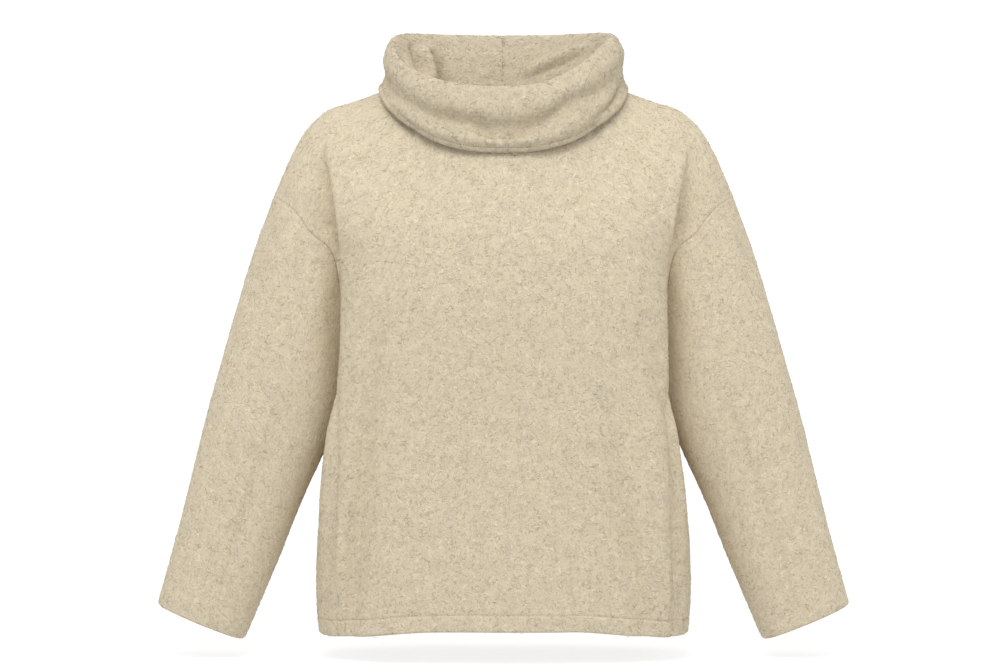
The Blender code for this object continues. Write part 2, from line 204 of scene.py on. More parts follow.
# soft upright folds by height: a trough's depth is positive, a ridge's negative
uprights = {
    "front": [
        table(
            "z x left right depth",
            (-38, -210, 18, 4, 0),
            (-62, -207, 20, 4, 8),
            (-100, -201, 22, 4, 16),
            (-136, -196, 22, 4, 22),
            (-165, -193, 20, 4, 23),
            (-190, -191, 18, 4, 18),
            (-225, -189, 14, 4, 4),
        ),
        table(
            "z x left right depth",
            (-44, 215, 4, 18, 0),
            (-70, 213, 4, 20, 8),
            (-100, 208, 4, 22, 16),
            (-136, 202, 4, 22, 22),
            (-165, 198, 4, 20, 23),
            (-190, 194, 4, 18, 18),
            (-225, 191, 4, 14, 4),
        ),
        table(
            "z x left right depth",
            (-240, -134, 9, 14, 0),
            (-290, -143, 9, 14, 6),
            (-357, -153, 9, 15, 10),
            (-443, -161, 9, 16, 11),
            (-543, -171, 9, 16, 11),
            (-620, -178, 9, 15, 8),
        ),
        table(
            "z x left right depth",
            (-300, -159, 8, 8, 0),
            (-360, -168, 8, 8, -3),
            (-443, -177, 8, 8, -4),
            (-543, -188, 8, 8, -5),
            (-620, -196, 7, 8, -3),
        ),
        table(
            "z x left right depth",
            (-330, 110, 16, 12, 0),
            (-394, 121, 16, 11, 6),
            (-450, 131, 16, 10, 9),
            (-520, 145, 15, 10, 10),
            (-570, 156, 14, 10, 9),
            (-620, 164, 13, 10, 7),
        ),
        table(
            "z x left right depth",
            (-240, 150, 9, 9, 0),
            (-270, 156, 9, 9, 5),
            (-322, 177, 9, 9, 8),
            (-370, 191, 9, 8, 8),
            (-430, 199, 9, 8, 5),
            (-523, 203, 9, 8, 0),
        ),
        table(
            "z x left right depth",
            (-300, 150, 9, 8, 0),
            (-380, 166, 9, 8, -3),
            (-460, 176, 9, 8, -4),
            (-540, 184, 9, 8, -4),
            (-620, 190, 8, 8, -2),
        ),
        table(
            "z x left right depth",
            (-330, -30, 26, 30, 0),
            (-430, -38, 26, 30, 2.5),
            (-540, -46, 26, 30, 4),
            (-620, -48, 26, 30, 4),
        ),
        table(
            "z x left right depth",
            (-380, 66, 24, 24, 0),
            (-470, 74, 24, 24, 2.5),
            (-620, 88, 24, 24, 4),
        ),
    ],
    "back": [
        table(
            "z x left right depth",
            (-235, -116, 18, 22, 0),
            (-330, -128, 18, 22, 6),
            (-480, -142, 17, 22, 8),
            (-620, -152, 16, 22, 7),
        ),
        table(
            "z x left right depth",
            (-255, 92, 22, 18, 0),
            (-350, 103, 22, 18, 6),
            (-500, 120, 22, 17, 8),
            (-620, 131, 22, 16, 6),
        ),
        table(
            "z x left right depth",
            (-300, -14, 26, 24, 0),
            (-420, -6, 26, 24, 4),
            (-540, 3, 26, 24, 6),
            (-620, 8, 26, 24, 6),
        ),
        table(
            "z x left right depth",
            (-200, 172, 14, 12, 0),
            (-290, 168, 14, 12, 4),
            (-380, 178, 12, 12, 3),
            (-440, 186, 12, 12, 0),
        ),
    ],
    "sleeve_right": [
        table(
            "z x left right depth",
            (-110, -262, 16, 12, 0),
            (-160, -272, 16, 12, 3),
            (-230, -286, 15, 12, 3.5),
            (-300, -304, 15, 12, 0),
        ),
        table(
            "z x left right depth",
            (-105, -236, 10, 10, 0),
            (-150, -241, 10, 10, -2.5),
            (-243, -258, 10, 10, -2.5),
            (-330, -282, 10, 10, 0),
        ),
        table(
            "z x left right depth",
            (-330, -240, 9, 12, 0),
            (-400, -266, 9, 12, 3),
            (-480, -292, 9, 12, 4),
            (-560, -316, 9, 12, 2.5),
            (-620, -332, 9, 12, 1.5),
        ),
    ],
    "sleeve_left": [
        table(
            "z x left right depth",
            (-120, 262, 12, 14, 0),
            (-180, 276, 12, 14, 3),
            (-260, 292, 12, 14, 3),
            (-330, 312, 12, 14, 0),
        ),
        table(
            "z x left right depth",
            (-300, 232, 12, 9, 0),
            (-380, 262, 12, 9, 3.5),
            (-470, 292, 12, 9, 3.5),
            (-550, 318, 12, 9, 2),
            (-620, 340, 12, 9, 1),
        ),
    ],
}

# folds that run across, by their place on X
crossings = {
    "fall": [
        table(
            "x z up down depth",
            (-126, 0, 9, 7, 0),
            (-92, -21, 9, 7, 2.5),
            (-69, -32, 9, 7, 3.5),
            (-42, -37, 10, 8, 4),
            (-5, -49, 10, 7, 6),
            (14, -49, 10, 7, 5),
            (41, -37, 9, 8, 4.5),
            (61, -20, 9, 9, 4),
            (115, 6, 8, 8, 2),
            (130, 14, 8, 8, 0),
        ),
        table(
            "x z up down depth",
            (-34, -44, 6, 4, 0),
            (-8, -52, 6, 3.5, 5),
            (8, -52, 6, 3.5, 5),
            (34, -43, 6, 4, 0),
        ),
        table(
            "x z up down depth",
            (-90, -8, 8, 8, 0),
            (-60, -14, 8, 8, -2.5),
            (-20, -24, 8, 8, -3),
            (20, -26, 8, 8, -3),
            (50, -14, 8, 8, -2.5),
            (80, 4, 8, 8, 0),
        ),
    ],
    "stand": [
        table(
            "x z up down depth",
            (20, 36, 5, 5, 0),
            (42, 42, 5, 4, -3.5),
            (64, 52, 5, 4, -4.5),
            (87, 61, 5, 4, -3.5),
            (104, 66, 5, 5, 0),
        ),
        table(
            "x z up down depth",
            (12, 22, 3, 8, 0),
            (41, 32, 3, 8, 2),
            (64, 42, 3, 8, 2.5),
            (87, 52, 3, 8, 2),
            (106, 58, 3, 8, 0),
        ),
    ],
}
cowlUprights = {
    "fall": [
        table(
            "z x left right depth",
            (-34, 103, 8, 3, 0),
            (-22, 115, 7, 3, 5),
            (-6, 128, 6, 3, 8),
            (9, 133, 5, 4, 6),
            (22, 136, 5, 5, 0),
        ),
        table(
            "z x left right depth",
            (-18, -139, 5, 8, 0),
            (-6, -137, 5, 8, 3),
            (10, -132, 6, 8, 3),
            (24, -130, 6, 8, 0),
        ),
    ],
    "stand": [
        table(
            "z x left right depth",
            (-4, -80, 6, 6, -6),
            (24, -87, 6, 5, -11),
            (44, -92, 5, 5, -12),
            (56, -95, 5, 5, -9),
            (66, -98, 5, 5, 0),
        ),
        table(
            "z x left right depth",
            (0, -65, 4, 11, 9),
            (22, -73, 4, 11, 16),
            (40, -80, 4, 10, 17),
            (52, -84, 4, 9, 12),
            (63, -87, 4, 8, 0),
        ),
        table(
            "z x left right depth",
            (10, -96, 4, 3, 0),
            (30, -98, 4, 3, 9),
            (48, -102, 4, 3, 10),
            (60, -106, 4, 3, 8),
            (72, -111, 4, 3, 0),
        ),
    ],
}

# how far the fall's lower edge is drawn in to lie on the chest, by its place on X
hug = table(
    "x push",
    (-141, 0),
    (-133, 1),
    (-121, 4),
    (-105, 7),
    (-88, 5),
    (-60, 3.2),
    (0, 3.2),
    (60, 3.2),
    (88, 5),
    (105, 7),
    (121, 4),
    (133, 1),
    (141, 0),
)
hugReach = 24.0

# seams and stitch lines: how deep and wide the cloth dips along them
seams = {
    "depth": 0.3,
    "width": 1.1,
    "ridge": 0.35,
    "ridgeAway": 2.6,
    "ridgeWidth": 1.3,
    "stitchDepth": 0.8,
    "stitchWidth": 1.3,
    "edgeWidth": 1.0,
    "sharpAngle": 50,
}


def arc(t, start, leaving, end, arriving):  # a cubic with a given pull at each end
    return (
        (2 * t**3 - 3 * t**2 + 1) * start
        + (t**3 - 2 * t**2 + t) * leaving
        + (3 * t**2 - 2 * t**3) * end
        + (t**3 - t**2) * arriving
    )


def through(xs, ys, at):  # a smooth curve through a few known places
    xs = np.asarray(xs, float)
    ys = np.asarray(ys, float)
    steps = np.diff(xs)
    rises = (np.diff(ys, axis=0).T / steps).T
    slopes = np.empty_like(ys)
    slopes[0], slopes[-1] = rises[0], rises[-1]
    near, far = steps[:-1], steps[1:]
    slopes[1:-1] = ((rises[:-1].T * far + rises[1:].T * near) / (near + far)).T
    at = np.clip(np.asarray(at, float), xs[0], xs[-1])
    cell = np.clip(np.searchsorted(xs, at, side="right") - 1, 0, len(steps) - 1)
    t = (at - xs[cell]) / steps[cell]
    width = steps[cell]
    if ys.ndim > 1:
        t, width = t[..., None], width[..., None]
    return arc(t, ys[cell], width * slopes[cell], ys[cell + 1], width * slopes[cell + 1])


def read(source, column, at, key="z"):
    order = np.argsort(source[key])
    return through(source[key][order], source[column][order], at)


def ease(t):
    t = np.clip(t, 0.0, 1.0)
    return t * t * (3 - 2 * t)


def lengthsAlong(points):
    steps = np.linalg.norm(np.diff(points, axis=0), axis=-1)
    return np.concatenate([np.zeros((1,) + steps.shape[1:]), np.cumsum(steps, axis=0)])


def spread(points, shares):  # points at shares of the way along a dense line
    way = lengthsAlong(points)
    way /= way[-1]
    return np.stack([np.interp(shares, way, points[:, axis]) for axis in range(3)], axis=1)


def armPoints(levels, angles, facing, tucks):
    turn = np.radians(angles)
    tilt = np.radians(read(arm, "tilt", levels))
    out = np.cos(turn) * read(arm, "half", levels)
    full = np.clip(np.sin(turn), 0.0, 1.0) ** sleeves["fullness"]
    deep = full * read(arm, "deep", levels) - tucks
    x = read(arm, "x", levels) + out * np.cos(tilt)
    y = read(arm, "y", levels) + facing * deep
    return np.stack([x, y, levels + out * np.sin(tilt)], axis=-1)


def seamPoints(angles, facing):
    angles = np.asarray(angles, float)
    levels = read(armhole, "level", angles, "angle")
    tucks = read(armhole, "tuck", angles, "angle")
    return armPoints(levels, angles, facing, tucks)


def armholeAngles():  # from the underarm up the valley, then over to the shoulder
    angles = []
    parts = (
        (180.0, sleeves["valleyTop"], body["valleyCells"]),
        (sleeves["valleyTop"], 0.0, body["yokeCells"]),
    )
    for first, last, cells in parts:
        dense = np.linspace(first, last, fineSteps)
        way = lengthsAlong(seamPoints(dense, -1))
        angles.extend(np.interp(np.linspace(0, way[-1], cells + 1), way, dense)[:-1])
    return np.array(angles + [0.0])


def sideTurn(level, y):
    depth = float(read(torso, "back" if y > 0 else "front", level))
    power = float(read(torso, "power", level))
    return math.copysign(math.degrees(math.asin((abs(y) / depth) ** (1 / power))), y)


def torsoPoints(level, turns):
    turns = np.radians(turns)
    power = float(read(torso, "power", level))
    across = np.abs(np.cos(turns)) ** power
    away = np.abs(np.sin(turns)) ** power
    depth = np.where(turns > 0, read(torso, "back", level), read(torso, "front", level))
    y = np.sign(turns) * depth * away
    pull = float(read(torso, "inset", level)) * np.exp(-((y / body["insetReach"]) ** 4))
    x = float(read(torso, "half", level)) * across - pull
    return np.stack([x, y, np.full_like(x, level)], axis=1)


def torsoRow(level, facing, edge):  # half a level row, from the middle to its side seam
    last = sideTurn(level, edge[1])
    start = facing * body["sideStart"]
    turns = np.linspace(facing * 90.0, last, body["rowSteps"])
    points = torsoPoints(level, turns)
    follow = ease((turns - start) / (last - start))
    return points + follow[:, None] * (edge - points[-1])


def columnShares():
    neck = np.linspace(0.0, body["neckShare"], body["neckCells"] + 1)
    nearSeam = np.array([0.022, 0.0165, 0.012, 0.0085, 0.0055, 0.0028, 0.0])
    count = body["ridgeCells"] - len(nearSeam) + 2
    wide = np.linspace(body["neckShare"], 1 - nearSeam[0], count)
    return np.concatenate([neck[:-1], wide[:-1], 1 - nearSeam])


def neckPoints(turns, facing):
    middleY, middleZ = body["frontNeck"] if facing < 0 else body["backNeck"]
    sideY, sideZ = body["neckSide"]
    share = np.clip(np.cos(np.radians(turns)), 0.0, 1.0)
    x = body["neckHalfWidth"] * np.sin(np.radians(turns))
    y = sideY + (middleY - sideY) * share
    z = sideZ + (middleZ - sideZ) * share ** body["neckDropPower"]
    return np.stack([x, y, z], axis=-1)


def ridgePoints(shares):
    tip = seamPoints(0.0, -1)
    xs = np.append(ridge["x"], tip[0])
    zs = np.append(ridge["z"], tip[2])
    way = np.concatenate([[0.0], np.cumsum(np.hypot(np.diff(xs), np.diff(zs)))])
    places = shares * way[-1]
    y = body["neckSide"][0] + (tip[1] - body["neckSide"][0]) * shares
    return np.stack([through(way, xs, places), y, through(way, zs, places)], axis=1)


def topLine(facing, shares):
    onNeck = shares <= body["neckShare"] + 1e-9
    neck = neckPoints(90.0 * shares[onNeck] / body["neckShare"], facing)
    along = (shares[~onNeck] - body["neckShare"]) / (1 - body["neckShare"])
    return np.concatenate([neck, ridgePoints(along)])


def sideEdge(level):  # the side seam, eased onto the underarm
    y = float(read(torso, "seamY", level))
    point = torsoPoints(level, np.array([sideTurn(level, y)]))[0]
    underarm = seamPoints(180.0, -1)
    y = float(read(torso, "seamY", underarm[2]))
    corner = torsoPoints(underarm[2], np.array([sideTurn(underarm[2], y)]))[0]
    near = math.exp(-(((underarm[2] - level) / body["underarmReach"]) ** 2))
    return point + (underarm - corner) * near * np.array([1.0, 1.0, 0.0])


def bodyLevels():
    underarm = seamPoints(180.0, -1)[2]
    hem, band = body["hemLevel"], body["hemBand"]
    low = [0.0, 0.5, 1.1, 2.0, 3.5, 7.0, 11.0, 14.5]
    stitched = [band + step for step in (-3.0, -1.8, -0.9, 0.0, 0.9, 1.8, 3.0, 5.5)]
    even = np.linspace(hem + stitched[-1], underarm, body["bodyCells"] + 1)[1:-1]
    return np.concatenate([hem + np.array(low + stitched), even])


def yokeSteps():
    nearSeam = np.array([0.030, 0.022, 0.015, 0.0095, 0.005, 0.0])
    count = body["yokeCells"] - len(nearSeam) + 2
    even = np.linspace(0.0, 1 - nearSeam[0], count)[1:-1]
    return np.concatenate([even, 1 - nearSeam])


def yokeAngles():
    top = armholeAngles()[body["valleyCells"] :]
    return np.interp(yokeSteps(), np.linspace(0, 1, body["yokeCells"] + 1), top)


def stationAngles():  # the armhole's points, in the order of the panels' rows
    return np.concatenate([armholeAngles()[: body["valleyCells"] + 1], yokeAngles()])


def halfPanel(facing):  # rows from the hem up, columns from the middle to the seams
    shares = columnShares()
    underarm = seamPoints(180.0, -1)[2]
    rows = []
    for level in bodyLevels():
        row = spread(torsoRow(level, facing, sideEdge(level)), shares)
        fade = ease((underarm - level) / (underarm - body["hemLevel"]))
        lift = body["hemLift"] if facing < 0 else 0.0
        row[:, 2] += lift * fade * (1 - ease((shares - body["liftStart"]) / body["liftSpan"]))
        rows.append(row)
    for edge in seamPoints(armholeAngles()[: body["valleyCells"] + 1], facing):
        rows.append(spread(torsoRow(edge[2], facing, edge), shares))
    base = rows[-1]
    top = topLine(facing, shares)
    yoke = frontYoke if facing < 0 else backYoke
    rise = np.stack([read(yoke, "rise" + axis, shares, "across") for axis in "XYZ"], axis=1)
    over = np.stack([read(yoke, "over" + axis, shares, "across") for axis in "XYZ"], axis=1)
    hold = ease((shares - body["seamHold"]) / (1 - body["seamHold"]))[:, None]
    for t, edge in zip(yokeSteps(), seamPoints(yokeAngles(), facing)):
        row = arc(t, base, rise, top, over)
        rows.append(row + hold * (edge - row[-1]))
    return np.array(rows)


def panel(facing):
    half = halfPanel(facing)
    other = half[:, :0:-1] * np.array([-1.0, 1.0, 1.0])
    sheet = np.concatenate([other, half], axis=1)
    return sheet if facing < 0 else sheet[:, ::-1]


def sleeveRings():  # shares of the way from the cuff up to the armhole
    nearCuff = np.array([0.0, 0.0012, 0.0026, 0.005, 0.010, 0.018])
    nearSeam = np.array([0.016, 0.0115, 0.008, 0.0052, 0.0026, 0.0])
    count = sleeves["ringCells"] - len(nearCuff) - len(nearSeam) + 3
    even = np.linspace(nearCuff[-1], 1 - nearSeam[0], count)[1:-1]
    return np.concatenate([nearCuff, even, 1 - nearSeam])


def sleeve(side):
    angles = stationAngles()
    around = np.concatenate([angles, angles[-2:0:-1]])
    facing = np.concatenate([-np.ones(len(angles)), np.ones(len(angles) - 2)])
    start = read(armhole, "level", around, "angle")
    tuck = read(armhole, "tuck", around, "angle")
    away = 1 - sleeveRings()[:, None]
    levels = start + (arm["z"].min() - start) * away
    fade = np.exp(-((away / sleeves["tuckReach"]) ** 2))
    turn = np.broadcast_to(around, levels.shape)
    sheet = armPoints(levels, turn, facing, tuck * fade)
    return sheet if side > 0 else sheet[:, ::-1] * np.array([-1.0, 1.0, 1.0])


def collarStations():  # turns from the seam at the back's middle by the wearer's right, and round
    even = np.linspace(0.0, 90.0, body["neckCells"] + 1)
    seam = np.array([0.10, 0.24, 0.45, 0.8, 1.25])
    back = np.sort(np.concatenate([even[:-1], seam]))
    right = [(turn, 1, "right") for turn in back] + [(turn, -1, "right") for turn in even[::-1]]
    left = [(turn, -1, "left") for turn in even[1:]] + [(turn, 1, "left") for turn in back[:0:-1]]
    return right + left


def collarShares(total):
    near = np.array([0.0, 0.7, 1.4, 2.4, 3.8]) / total
    hem = collar["hem"]
    line = [hem + step for step in (3.5, 1.8, 0.9, 0.0, -0.9, -1.8, -3.0)]
    far = 1 - np.array(line + [2.6, 1.4, 0.7, 0.3, 0.0]) / total
    count = collar["cells"] - len(near) - len(far) + 3
    return np.concatenate([near, np.linspace(near[-1], far[0], count)[1:-1], far])


def collarSheet():  # rows from the neck seam up the stand, over the rim and down the fall
    dense = np.linspace(0.0, 1.0, fineSteps)
    power = collar["roundness"]
    columns, rims = [], []
    for turn, facing, side in collarStations():
        sine = max(0.0, math.sin(math.radians(turn)))
        middle = max(0.0, math.cos(math.radians(turn)))
        end = "front" if facing < 0 else "back"
        if facing < 0:
            share = middle ** cowl[side + "Bend"]
        else:
            share = 1 - (1 - middle) ** cowl["backBend"]
        sign = 1.0 if side == "left" else -1.0
        x = sign * cowl[side + "Out"] * sine**power
        y = collar["sideY"] * (1 - middle) + facing * cowl[end + "Out"] * middle**power
        z = cowl[side + "Up"] + (cowl[end + "Up"] - cowl[side + "Up"]) * share
        start = neckPoints(turn, facing) * np.array([sign, 1.0, 1.0])
        marks = np.concatenate([[start], np.stack([x, y, z], axis=1)])
        way = lengthsAlong(marks)
        line = through(way, marks, dense * way[-1])
        shares = collarShares(lengthsAlong(line)[-1])
        columns.append(spread(line, shares))
        rims.append(shares - way[3] / way[-1])
    return np.array(columns).transpose(1, 0, 2), np.array(rims).T


def gridFaces(rows, columns, closed):
    number = np.arange(rows * columns).reshape(rows, columns)
    right = np.roll(number, -1, axis=1)
    if not closed:
        number, right = number[:, :-1], right[:, :-1]
    return np.stack([number[:-1], right[:-1], right[1:], number[1:]], axis=-1).reshape(-1, 4)


def sharedNormals(grids):  # normals that pieces have in common where they are sewn together
    points = np.concatenate([grid.reshape(-1, 3) for grid, closed in grids])
    faces, starts = [], [0]
    for grid, closed in grids:
        faces.append(gridFaces(grid.shape[0], grid.shape[1], closed) + starts[-1])
        starts.append(starts[-1] + grid.shape[0] * grid.shape[1])
    faces = np.concatenate(faces)
    corners = points[faces]
    normals = np.cross(corners[:, 2] - corners[:, 0], corners[:, 3] - corners[:, 1])
    places = np.round(points / weldStep).astype(np.int64)
    _, index = np.unique(places, axis=0, return_inverse=True)
    index = index.reshape(-1)
    total = np.zeros((index.max() + 1, 3))
    for corner in range(4):
        np.add.at(total, index[faces[:, corner]], normals)
    total /= np.linalg.norm(total, axis=1)[:, None] + 1e-12
    unit = total[index]
    normals /= np.linalg.norm(normals, axis=1)[:, None] + 1e-12
    lean = np.zeros(len(total))
    count = np.zeros(len(total))
    for corner in range(4):
        at = index[faces[:, corner]]
        np.add.at(lean, at, (normals * total[at]).sum(axis=1))
        np.add.at(count, at, 1)
    stretch = 1 / np.clip((lean / np.maximum(count, 1))[index], leastFacing, 1.0)
    results = []
    for (grid, closed), start, end in zip(grids, starts, starts[1:]):
        shape = grid.shape[:2]
        results.append((unit[start:end].reshape(shape + (3,)), stretch[start:end].reshape(shape)))
    return results


def fromEdge(sheet, edge):  # millimetres from one edge, measured along the cloth
    if edge == "low":
        return lengthsAlong(sheet)
    if edge == "high":
        return lengthsAlong(sheet[::-1])[::-1]
    turned = sheet.transpose(1, 0, 2)
    if edge == "left":
        return lengthsAlong(turned).T
    return lengthsAlong(turned[::-1])[::-1].T


def dip(distance, place, width):
    return np.exp(-(((distance - place) / width) ** 2))


def seamDip(distance):  # a fine groove with the turned edges raised beside it
    groove = seams["depth"] * dip(distance, 0, seams["width"])
    return groove - seams["ridge"] * dip(distance, seams["ridgeAway"], seams["ridgeWidth"])


def uprightPush(points, folds):
    push = np.zeros(points.shape[:-1])
    for fold in folds:
        levels = points[..., 2]
        offset = points[..., 0] - read(fold, "x", levels)
        width = np.where(offset < 0, read(fold, "left", levels), read(fold, "right", levels))
        push += read(fold, "depth", levels) * np.exp(-((offset / width) ** 2))
    return push


def crossPush(points, folds):
    push = np.zeros(points.shape[:-1])
    for fold in folds:
        places = points[..., 0]
        offset = points[..., 2] - read(fold, "z", places, "x")
        up, down = read(fold, "up", places, "x"), read(fold, "down", places, "x")
        width = np.where(offset > 0, up, down)
        push += read(fold, "depth", places, "x") * np.exp(-((offset / width) ** 2))
    return push


def thickness(kind, fromHem, band, double):  # double in the hem and rounded off at its edge
    thick = np.full(fromHem.shape, kind["cloth"])
    thick += double * (1 - ease((fromHem - band) / kind["hemStep"]))
    return thick - kind["edgeThin"] * dip(fromHem, 0, seams["edgeWidth"])


def foldPanel(name, sheet):
    facing = -1 if name == "front" else 1
    inside = ease((facing * sheet[..., 1] - body["foldsFrom"]) / body["foldsFade"])
    left, right = fromEdge(sheet, "left"), fromEdge(sheet, "right")
    held = ease(left / body["seamFade"]) * ease(right / body["seamFade"])
    inward = uprightPush(sheet, uprights[name]) * inside * held
    low = fromEdge(sheet, "low")
    for distance in (left, right, fromEdge(sheet, "high")):
        inward += seamDip(distance)
    inward += seams["stitchDepth"] * dip(low, body["hemBand"], seams["stitchWidth"])
    inward += body["edgeIn"] * dip(low, 0, seams["edgeWidth"])
    return inward, thickness(body, low, body["hemBand"], body["hemDouble"])


def foldSleeve(name, sheet):
    middle = read(arm, "y", sheet[..., 2])
    inside = ease((middle - sheet[..., 1] - sleeves["foldsFrom"]) / sleeves["foldsFade"])
    high = fromEdge(sheet, "high")
    inward = uprightPush(sheet, uprights[name]) * inside * ease(high / sleeves["seamFade"])
    inward += seamDip(high)
    low = fromEdge(sheet, "low")
    inward += sleeves["edgeIn"] * dip(low, 0, seams["edgeWidth"])
    return inward, thickness(sleeves, low, sleeves["cuffBand"], sleeves["cuffDouble"])


def foldCollar(sheet, pastRim):  # the fall's face looks to the wearer, so its pushes turn round
    front = ease((collar["frontTo"] - sheet[..., 1]) / collar["frontFade"])
    behind = ease((sheet[..., 1] - collar["behindFrom"]) / collar["behindFade"])
    fall = ease((pastRim - collar["fallFrom"]) / collar["rimFade"])
    stand = ease((-pastRim - collar["standFrom"]) / collar["rimFade"])
    high = fromEdge(sheet, "high")
    low = fromEdge(sheet, "low")
    free = ease((high - collar["freeFrom"]) / collar["freeFade"])
    outer = uprightPush(sheet, cowlUprights["fall"]) + crossPush(sheet, crossings["fall"])
    inner = uprightPush(sheet, cowlUprights["stand"]) + crossPush(sheet, crossings["stand"])
    inward = -outer * fall * front * free
    inward -= read(hug, "push", sheet[..., 0], "x") * front * (1 - ease(high / hugReach))
    inward -= inner * stand * behind * ease(low / collar["seamFade"])
    inward += seams["depth"] * dip(low, 0, seams["width"])
    inward -= seams["stitchDepth"] * dip(high, collar["hem"], seams["stitchWidth"])
    inward += collar["edgeIn"] * dip(high, 0, seams["edgeWidth"])
    joined = dip(sheet[..., 0], 0, collar["joinWidth"]) * (sheet[..., 1] > collar["joinFrom"])
    inward += collar["joinIn"] * joined
    thick = thickness(collar, high, collar["hem"] - 1, collar["hemDouble"])
    return inward, thick - collar["joinThin"] * joined


def wallObject(name, face, rear, closed, ways):  # a closed wall with the cloth's own way as its UV
    rows, columns = face.shape[:2]
    count = rows * columns
    faces = gridFaces(rows, columns, closed)
    number = np.arange(count).reshape(rows, columns)
    ring = np.append(number, number[:, :1], axis=1) if closed else number
    wayFaces = gridFaces(rows, ways.shape[1], False)
    wayNumber = np.arange(rows * ways.shape[1]).reshape(rows, -1)
    lines = [(ring[0], wayNumber[0]), (ring[-1, ::-1], wayNumber[-1, ::-1])]
    if not closed:
        lines += [(number[::-1, 0], wayNumber[::-1, 0]), (number[:, -1], wayNumber[:, -1])]

    def rim(line, behind):
        return np.stack([line[1:], line[:-1], line[:-1] + behind, line[1:] + behind], axis=1)

    solid = [faces, faces[:, ::-1] + count] + [rim(line, count) for line, way in lines]
    corners = [wayFaces, wayFaces[:, ::-1]] + [rim(way, 0) for line, way in lines]
    points = np.concatenate([face.reshape(-1, 3), rear.reshape(-1, 3)]) * mm
    mesh = meshOf(name, points, np.concatenate(solid))
    mesh.set_sharp_from_angle(angle=math.radians(seams["sharpAngle"]))
    layer = mesh.uv_layers.new(name="clothWay")
    places = ways.reshape(-1, 2)[np.concatenate(corners).reshape(-1)]
    layer.data.foreach_set("uv", places.astype(np.float32).reshape(-1))
    return placed(name, mesh)


def meshOf(name, points, faces):
    mesh = bpy.data.meshes.new(name)
    mesh.vertices.add(len(points))
    mesh.vertices.foreach_set("co", points.astype(np.float32).reshape(-1))
    mesh.loops.add(faces.size)
    mesh.loops.foreach_set("vertex_index", faces.astype(np.int32).reshape(-1))
    mesh.polygons.add(len(faces))
    starts = np.arange(0, faces.size, faces.shape[1], dtype=np.int32)
    mesh.polygons.foreach_set("loop_start", starts)
    mesh.update(calc_edges=True)
    mesh.shade_smooth()
    return mesh


def placed(name, mesh):
    piece = bpy.data.objects.new(name, mesh)
    bpy.context.scene.collection.objects.link(piece)
    return piece


def clothWays(sheet, closed):  # metres across and along the cloth, for its pattern
    if closed:
        sheet = np.append(sheet, sheet[:, :1], axis=1)
    across = lengthsAlong(sheet.transpose(1, 0, 2)).T
    across -= across.mean(axis=1, keepdims=True)
    return np.stack([across, lengthsAlong(sheet)], axis=-1) * mm


print("cutting the sheets")
collarGrid, pastRim = collarSheet()
cuts = {
    "front": (panel(-1), False),
    "back": (panel(1), False),
    "sleeve_left": (sleeve(1), True),
    "sleeve_right": (sleeve(-1), True),
    "collar": (collarGrid, True),
}

print("folding them")
draped, walls = {}, {}
for (name, (sheet, closed)), (normals, stretch) in zip(cuts.items(), sharedNormals(cuts.values())):
    if name == "collar":
        inward, walls[name] = foldCollar(sheet, pastRim)
    elif name in ("front", "back"):
        inward, walls[name] = foldPanel(name, sheet)
    else:
        inward, walls[name] = foldSleeve(name, sheet)
    draped[name] = (sheet - normals * inward[..., None], closed)

# each piece made as a walled mesh in metres, with the surfaces it is made from
pieces, surfaces = {}, {}
for (name, (sheet, closed)), (normals, stretch) in zip(draped.items(), sharedNormals(draped.values())):
    rear = sheet - normals * (walls[name] * stretch)[..., None]
    pieces[name] = wallObject("cloth_" + name, sheet, rear, closed, clothWays(sheet, closed))
    surfaces[name] = (sheet, rear, normals)
    print("made", name, len(pieces[name].data.polygons) * 2, "triangles")

# the cloth's colours, flecks and nap
look = {
    "ground": (0.66, 0.568, 0.41),
    "pale": (0.92, 0.84, 0.66),
    "deep": (0.32, 0.25, 0.15),
    "warm": (0.70, 0.60, 0.425),
    "cool": (0.62, 0.535, 0.395),
    "dusk": (0.55, 0.465, 0.325),
    "shade": 0.955,
    # the collar is the same cloth as the body; its lower factor darkens the whole collar as painted
    # shade
    "collarPaintedShade": 0.845,
    "roughness": 0.92,
    "specular": 0.15,
    "sheen": 0.2,
    "sheenRoughness": 0.6,
    "bump": 0.45,
    "bumpDepth": 0.0008,
    "patchScale": 60.0,
    "grainScale": 900.0,
    "grainShare": 0.6,
    "grainHeight": 0.6,
    "brokenFade": 0.06,
}
# curled fibres drawn in the cloth: lines a metre, thinness, gaps, strength, height and tint
curls = {
    "deep": (104.0, (4.0, 7.0, 2.0), 0.045, 0.45, 0.36, -0.6, "Deep"),
    "deeper": (135.0, (3.0, 8.0, 6.0), 0.045, 0.47, 0.3, 0.0, "Deep"),
    "small": (260.0, (9.0, 1.0, 5.0), 0.08, 0.46, 0.3, 0.0, "Pale"),
    "paler": (128.0, (6.0, 3.0, 1.0), 0.05, 0.46, 0.3, 0.6, "Pale"),
    "pale": (98.0, (0.0, 2.0, 5.0), 0.05, 0.44, 0.38, 0.7, "Pale"),
}


def newMaterial(name, roughness):
    material = bpy.data.materials.new(name)
    material.use_nodes = True
    shader = material.node_tree.nodes["Principled BSDF"]
    shader.inputs["Roughness"].default_value = roughness
    return material, material.node_tree.nodes, material.node_tree.links, shader


def shaded(key, shade):  # one of the cloth's tints, scaled by the piece's shade factor; the collar's lower factor is painted shade
    return (*[part * shade for part in look[key]], 1)


